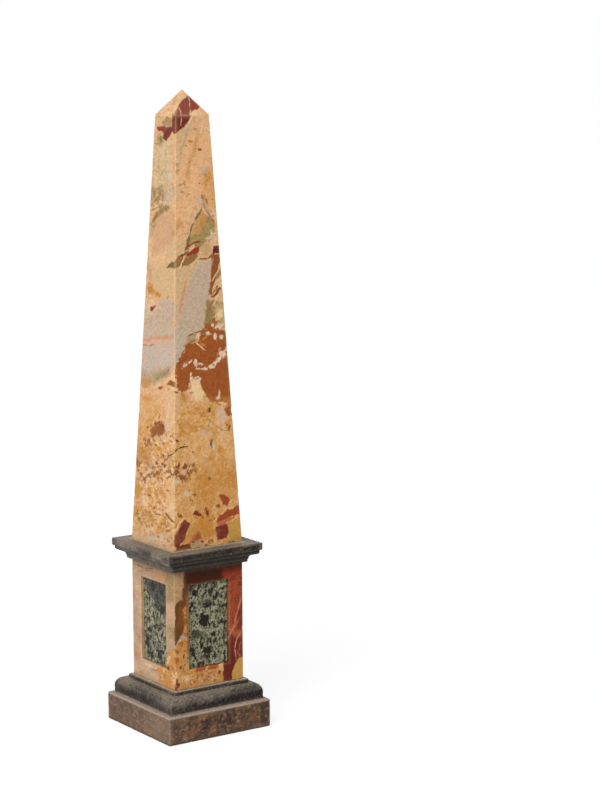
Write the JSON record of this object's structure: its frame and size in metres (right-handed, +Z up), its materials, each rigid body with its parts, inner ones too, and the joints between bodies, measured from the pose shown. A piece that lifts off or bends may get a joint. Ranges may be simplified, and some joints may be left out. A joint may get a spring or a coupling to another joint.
{
  "type": "table obelisk",
  "caption": "Tapered obelisk of variegated stone for a table top, on a pedestal with sunk green panels, dark moulded cornice and base, and a square plinth.",
  "frame": {"origin": "centre of the plinth's underside, on the surface that it stands on", "axes": "+Z up the shaft; the front faces -Y, +X to its right"},
  "size_m": [0.134, 0.134, 0.7098],
  "materials": {
    "jasper_breccia": "polished, worn at the arrises",
    "green_serpentine_breccia": "polished",
    "dark_fossil_limestone": "worn polish with dust on the upward faces",
    "mottled_brown_marble": "dull, worn polish",
    "setting_plaster": "matte"
  },
  "bodies": {
    "root": {"plinth": "mottled_brown_marble", "base_bed": "setting_plaster", "base_moulding": "dark_fossil_limestone", "pedestal_bed": "setting_plaster", "pedestal_block": "jasper_breccia", "panel_front": "green_serpentine_breccia", "panel_right": "green_serpentine_breccia", "panel_back": "green_serpentine_breccia", "panel_left": "green_serpentine_breccia", "cornice_bed": "setting_plaster", "cornice": "dark_fossil_limestone", "shaft_bed": "setting_plaster", "shaft": "jasper_breccia"}
  },
  "joints": []
}
